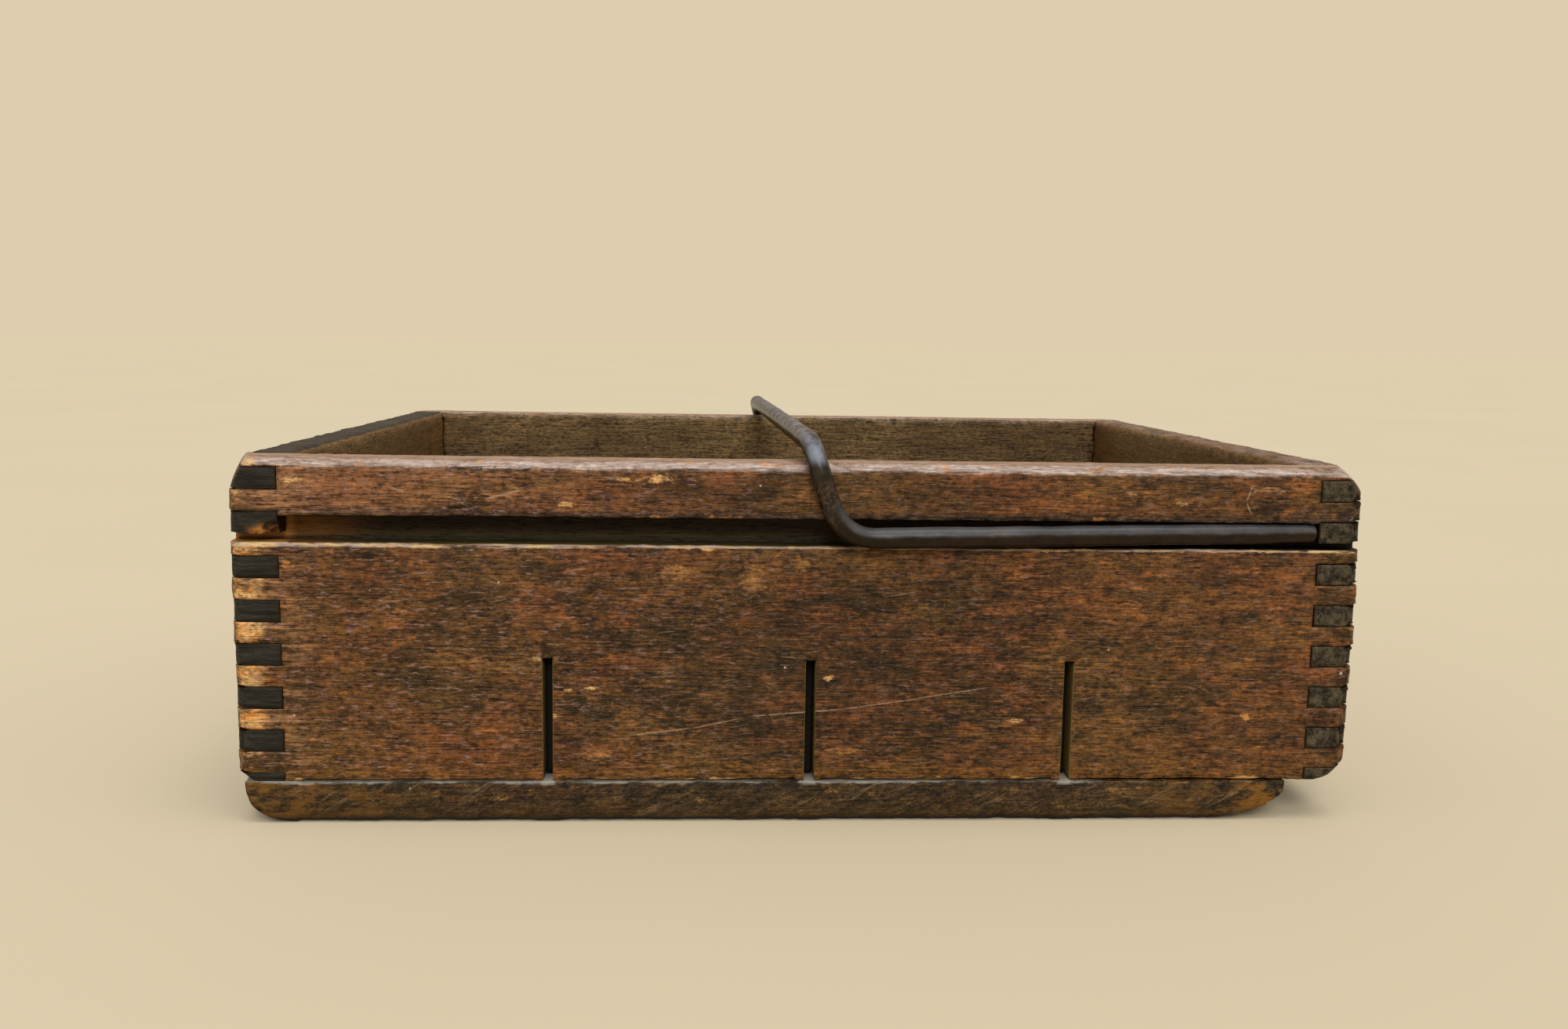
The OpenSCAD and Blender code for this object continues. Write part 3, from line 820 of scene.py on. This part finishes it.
def nick(piece, places):
    """Breaks small ragged bits out of a piece, each given as x, y, z and radius."""
    cutters = []
    ragged = {"texture": NICK_CLOUDS, "texture_coords": "LOCAL", "mid_level": 0.5}
    for x, y, z, radius in places:
        place = (x / MM, y / MM, z / MM)
        bpy.ops.object.select_all(action="DESELECT")
        bpy.ops.mesh.primitive_ico_sphere_add(subdivisions=3, radius=radius / MM, location=place)
        bpy.ops.object.transform_apply(location=True, rotation=False, scale=False)
        cutter = bpy.context.object
        modify(cutter, "DISPLACE", strength=radius / MM, **ragged)
        cutters.append(cutter)
    cut_away(piece, cutters)
    for cutter in cutters:
        bpy.data.objects.remove(cutter)


def refine(piece, cell):
    """Covers a piece with an even mesh of that cell size, with its edges still sharp."""
    scale = max(piece.dimensions) * MM / (cell * 2 ** GRID_DEPTH)
    modify(piece, "REMESH", mode="SHARP", octree_depth=GRID_DEPTH, scale=scale, use_smooth_shade=True)


def corner_cutter(x, y, z, reaches):
    """A block outside a ball, which rounds a corner of the box. The cut reaches so far along each axis."""
    corner = Vector((x, y, z)) / MM
    scale = Vector(reaches) / MM
    inward = [-math.copysign(BALL_DEPTH, value) for value in (x, y, z - TOP / 2)]
    middle = corner + Vector(inward) * scale
    radius = math.hypot(BALL_DEPTH - 1, BALL_DEPTH, BALL_DEPTH)
    bpy.ops.object.select_all(action="DESELECT")
    ball = {"segments": 64, "ring_count": 48, "radius": radius}
    bpy.ops.mesh.primitive_uv_sphere_add(location=middle, scale=scale, **ball)
    bpy.ops.object.transform_apply(location=True, rotation=False, scale=True)
    core = bpy.context.object
    bpy.ops.mesh.primitive_cube_add(size=BLOCK_SIZE, location=corner, scale=scale)
    bpy.ops.object.transform_apply(location=True, rotation=False, scale=True)
    cutter = bpy.context.object
    cut_away(cutter, [core])
    bpy.data.objects.remove(core)
    return cutter


def edge_cutter(y, radius):
    """A long bar outside a rod, which rounds a lower edge of the bottom board."""
    inward = -math.copysign(radius, y)
    middle = (0.0, (y + inward) / MM, radius / MM)
    size = {"vertices": 48, "radius": radius / MM, "depth": 5 * END / MM}
    bpy.ops.object.select_all(action="DESELECT")
    bpy.ops.mesh.primitive_cylinder_add(location=middle, rotation=(0.0, math.pi / 2, 0.0), **size)
    bpy.ops.object.transform_apply(location=True, rotation=True, scale=False)
    rod = bpy.context.object
    bar = (4 * END / MM, 2 * radius / MM, 2 * radius / MM)
    bpy.ops.mesh.primitive_cube_add(size=1.0, location=(0.0, y / MM, 0.0), scale=bar)
    bpy.ops.object.transform_apply(location=True, rotation=False, scale=True)
    cutter = bpy.context.object
    cut_away(cutter, [rod])
    bpy.data.objects.remove(rod)
    return cutter


def wear_down(piece, cell, edge_loss, corner_loss=0.0):
    """Rounds a piece's edges, wears them unevenly and notes where they are rubbed or hollow."""
    refine(piece, cell)
    points = mesh_arrays(piece)[0].T * MM
    right = points[0] > 0
    x, y, z = np.abs(points)
    in_joint = (x > INNER_END - 2.0) & (y > INNER_FACE - 0.5)
    for slot_x in SLOT_XS:
        in_joint |= (np.abs(points[0] - slot_x) < 2.5) & (z < SLOT_TOP + 1.5) & (y > INNER_FACE - 0.5)
    corner = ramp(x, END - 3.0, END - 1.0) * ramp(y, FACE - 3.0, FACE - 1.0)
    tips = corner * np.where(right, TIP_ROUNDING, JOINT_ROUNDING)
    rounding = vertex_group(piece, "rounding", np.where(in_joint, np.maximum(JOINT_ROUNDING, tips), 1.0))
    modify(piece, "SMOOTH", factor=0.5, iterations=4, vertex_group=rounding)
    proud = standing_out(piece, 4)[0]
    loose = np.where(in_joint, JOINT_WEAR + corner, 1.0)
    edges = vertex_group(piece, "edges", np.clip(proud / EDGE_BEND, 0, 1) * loose)
    upper = ramp(z, *UPPER_FINGERS) * np.where(right, 1.0, 0.0)
    lower = ramp(z, *LOWER_FINGERS) * np.where(right, 1.0, 0.5)
    loss = corner * (corner_loss + UPPER_LOSS * upper + LOWER_LOSS * lower)
    if loss.max() > 0:
        corners = vertex_group(piece, "corners", loss / loss.max())
        modify(piece, "DISPLACE", strength=-loss.max() / MM, mid_level=0.0, vertex_group=corners)
    along_edges = {"texture_coords": "LOCAL", "direction": "NORMAL", "vertex_group": edges}
    modify(piece, "DISPLACE", texture=CHIP_CLOUDS, strength=edge_loss / MM, mid_level=0.75, **along_edges)
    modify(piece, "DISPLACE", texture=WEAR_CLOUDS, strength=edge_loss / MM, mid_level=0.6, **along_edges)
    modify(piece, "DISPLACE", texture=WARP_CLOUDS, texture_coords="LOCAL", strength=WARP / MM, mid_level=0.5)
    piece.vertex_groups.clear()
    proud, hollow = standing_out(piece, 2)
    store(piece, "wear", proud / MARK_BEND * loose)
    store(piece, "cavity", hollow / MARK_BEND)


def dress(piece, node, body, material):
    """Puts a finished piece in its CAD node's place."""
    piece.data.materials.clear()
    piece.data.materials.append(material)
    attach(piece, body)
    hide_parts(node)


NICK_CLOUDS = clouds("nick_clouds", 1.6)
CHIP_CLOUDS = clouds("chip_clouds", 2.4)
WEAR_CLOUDS = clouds("wear_clouds", 9.0)
WARP_CLOUDS = clouds("warp_clouds", 30.0)

side_material = side_wood()
end_material = end_wood()
long_strip_material = strip_wood("bare_long_strip_wood", "x")
cross_strip_material = strip_wood("bare_cross_strip_wood", "y")

# Boards: node, slot, material, cells of the mesh, and what all fingers lose at the corners
BOARDS = [
    ("front_side", "side_wood", side_material, 0.64, 0.0),
    ("back_side", "side_wood", side_material, 0.64, 0.0),
    ("left_end", "end_wood", end_material, 0.6, 0.2),
    ("right_end", "end_wood", end_material, 0.6, 0.7),
    ("bottom_board", "bottom_wood", bottom_wood(), 0.9, 0.0),
]
corner_cutters = [corner_cutter(*corner) for corner in ROUND_CORNERS]
floor_cutters = [edge_cutter(y, FLOOR_EDGE_RADIUS) for y in (-FACE, FACE)]
for node, slot, material, cell, corner_loss in BOARDS:
    board = cad_copy(node, "worn_" + node)
    cut_away(board, floor_cutters if node == "bottom_board" else corner_cutters)
    nick(board, NICKS[node])
    wear_down(board, cell, EDGE_LOSS, corner_loss)
    dress(board, node, "crate", material)

for cutter in corner_cutters + floor_cutters:
    bpy.data.objects.remove(cutter)

# Strips: node and material
STRIPS = [
    ("cross_divider_left", cross_strip_material),
    ("cross_divider_centre", cross_strip_material),
    ("cross_divider_right", cross_strip_material),
    ("long_divider_front", long_strip_material),
    ("long_divider_back", long_strip_material),
]
for node, material in STRIPS:
    strip = cad_copy(node, "worn_" + node)
    wear_down(strip, STRIP_CELL, STRIP_LOSS)
    dress(strip, node, "crate", material)

bail = cad_copy("bail", "worn_bail")
sideways = math.tan(math.radians(UPRIGHT_LEAN)) * CROSSING_SAG
shift_past(bail, 2, UPRIGHT_MIDDLE, (sideways, 0.0, -CROSSING_SAG))
shift_past(bail, 0, ARM_MIDDLE, (0.0, 0.0, -ARM_CLEARANCE))
uneven = {"texture": WEAR_CLOUDS, "texture_coords": "LOCAL", "mid_level": -WIRE_SWELL}
modify(bail, "REMESH", mode="VOXEL", voxel_size=WIRE_CELL / MM, use_smooth_shade=True)
modify(bail, "SMOOTH", factor=0.5, iterations=20)
modify(bail, "DISPLACE", strength=WIRE_UNEVEN / MM, **uneven)
dress(bail, "bail", "bail", wire_steel())

nails = cad_copy("bottom_nails", "worn_nails")
modify(nails, "BEVEL", width=NAIL_BEVEL / MM, segments=2, limit_method="ANGLE", angle_limit=SHARP_ANGLE)
select_only(nails)
bpy.ops.object.shade_smooth_by_angle(angle=SHARP_ANGLE)
dress(nails, "bottom_nails", "crate", nail_steel())


# Floor, light and camera

FLOOR_COLOUR = tone(214, 198, 167)
FLOOR_SHADE = tone(212, 196, 165)
SKY_COLOUR = tone(222, 205, 174)
SKY_LIGHT = (0.94, 0.97, 1.0, 1.0)
SKY_STRENGTH = 0.48

# Radius of the floor in metres
FLOOR_RADIUS = 40.0

# Soft lights: name, direction, strength, width in degrees, colour
SUNS = [
    ("key", (0.0, -0.85, 0.65), 1.5, 28.0, (0.99, 0.99, 0.98)),
    ("top", (0.1, -0.2, 1.0), 1.15, 40.0, (1.0, 1.0, 1.0)),
]


def floor():
    """A wide pale floor, which is no part of the object."""
    bpy.ops.object.select_all(action="DESELECT")
    bpy.ops.mesh.primitive_circle_add(vertices=96, radius=FLOOR_RADIUS, fill_type="NGON")
    ground = bpy.context.object
    ground.name = "floor"
    paint = Finish("pale_floor")
    soft = paint.noise((0.004, 0.004, 0.004), 1.0, 3.0, 0.5)
    colour = soft.step(0.3, 0.7).mix(FLOOR_SHADE, FLOOR_COLOUR)
    ground.data.materials.append(paint.close(colour, soft * 0.1 + 0.9, soft, 0.0, specular=0.0))


def sun(name, direction, strength, angle, colour):
    """A soft light from that direction, as wide as that angle in degrees."""
    data = bpy.data.lights.new(name, "SUN")
    data.energy = strength
    data.angle = math.radians(angle)
    data.color = colour
    light = bpy.data.objects.new(name, data)
    light.rotation_euler = (-Vector(direction)).to_track_quat("-Z", "Y").to_euler()
    bpy.context.collection.objects.link(light)


def sky(strength):
    """A soft white sky that lights the object, and the floor's own colour where the camera sees it."""
    world = bpy.data.worlds.new("soft_sky")
    world.use_nodes = True
    world.node_tree.nodes.clear()
    tree = Shade(world.node_tree)
    kinds = ("Camera", "Glossy", "Transmission")
    rays = [tree.add("ShaderNodeLightPath", out="Is " + kind + " Ray") for kind in kinds]
    seen = rays[0].most(rays[1]).most(rays[2])
    light = tree.add("ShaderNodeBackground", {"Color": SKY_LIGHT, "Strength": strength})
    shown = tree.add("ShaderNodeBackground", {"Color": SKY_COLOUR, "Strength": 1.0})
    both = tree.add("ShaderNodeMixShader", {0: seen, 1: light, 2: shown})
    tree.add("ShaderNodeOutputWorld", {"Surface": both})
    bpy.context.scene.world = world


def camera():
    """The camera at the place that was fitted to the box."""
    data = bpy.data.cameras.new("camera")
    data.sensor_fit = "HORIZONTAL"
    data.sensor_width = SENSOR
    data.lens = FOCAL_PIXELS * SENSOR / IMAGE_WIDTH
    data.clip_start = 0.01
    eye = bpy.data.objects.new("camera", data)
    turn = Matrix.Rotation(math.radians(-CAMERA_YAW), 4, "Z")
    tilt = Matrix.Rotation(math.radians(90.0 - CAMERA_PITCH), 4, "X")
    roll = Matrix.Rotation(math.radians(CAMERA_ROLL), 4, "Z")
    eye.matrix_world = Matrix.Translation(Vector(CAMERA_PLACE) / MM) @ turn @ tilt @ roll
    bpy.context.collection.objects.link(eye)
    bpy.context.scene.camera = eye


floor()
for light in SUNS:
    sun(*light)
sky(SKY_STRENGTH)
camera()
bpy.context.scene.view_settings.view_transform = "Standard"
